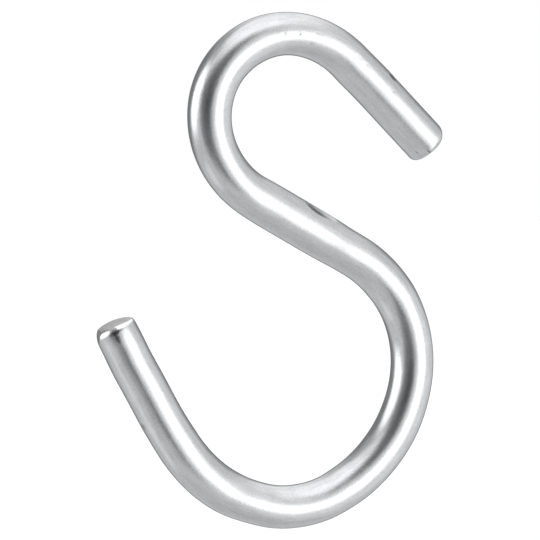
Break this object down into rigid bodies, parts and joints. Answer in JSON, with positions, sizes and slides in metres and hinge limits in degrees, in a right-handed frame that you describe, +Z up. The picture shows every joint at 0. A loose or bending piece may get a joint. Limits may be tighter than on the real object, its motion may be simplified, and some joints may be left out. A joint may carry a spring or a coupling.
{
  "type": "s hook",
  "caption": "Open S hook bent from round zinc-plated steel wire, with a small upper loop to hang from and a wide lower loop for the load.",
  "frame": {"origin": "inside top of the upper loop, where the hook rests on its rail", "axes": "+Z up along the load line, +X towards the open end of the upper loop, Y through the thickness of the wire, with the front looking along -Y"},
  "size_m": [0.053, 0.0064, 0.0745],
  "materials": {
    "zinc_wire": "bright zinc plating over drawn steel wire, glossy with fine streaks along the wire"
  },
  "bodies": {
    "root": {"hook_wire": "zinc_wire"}
  },
  "joints": []
}
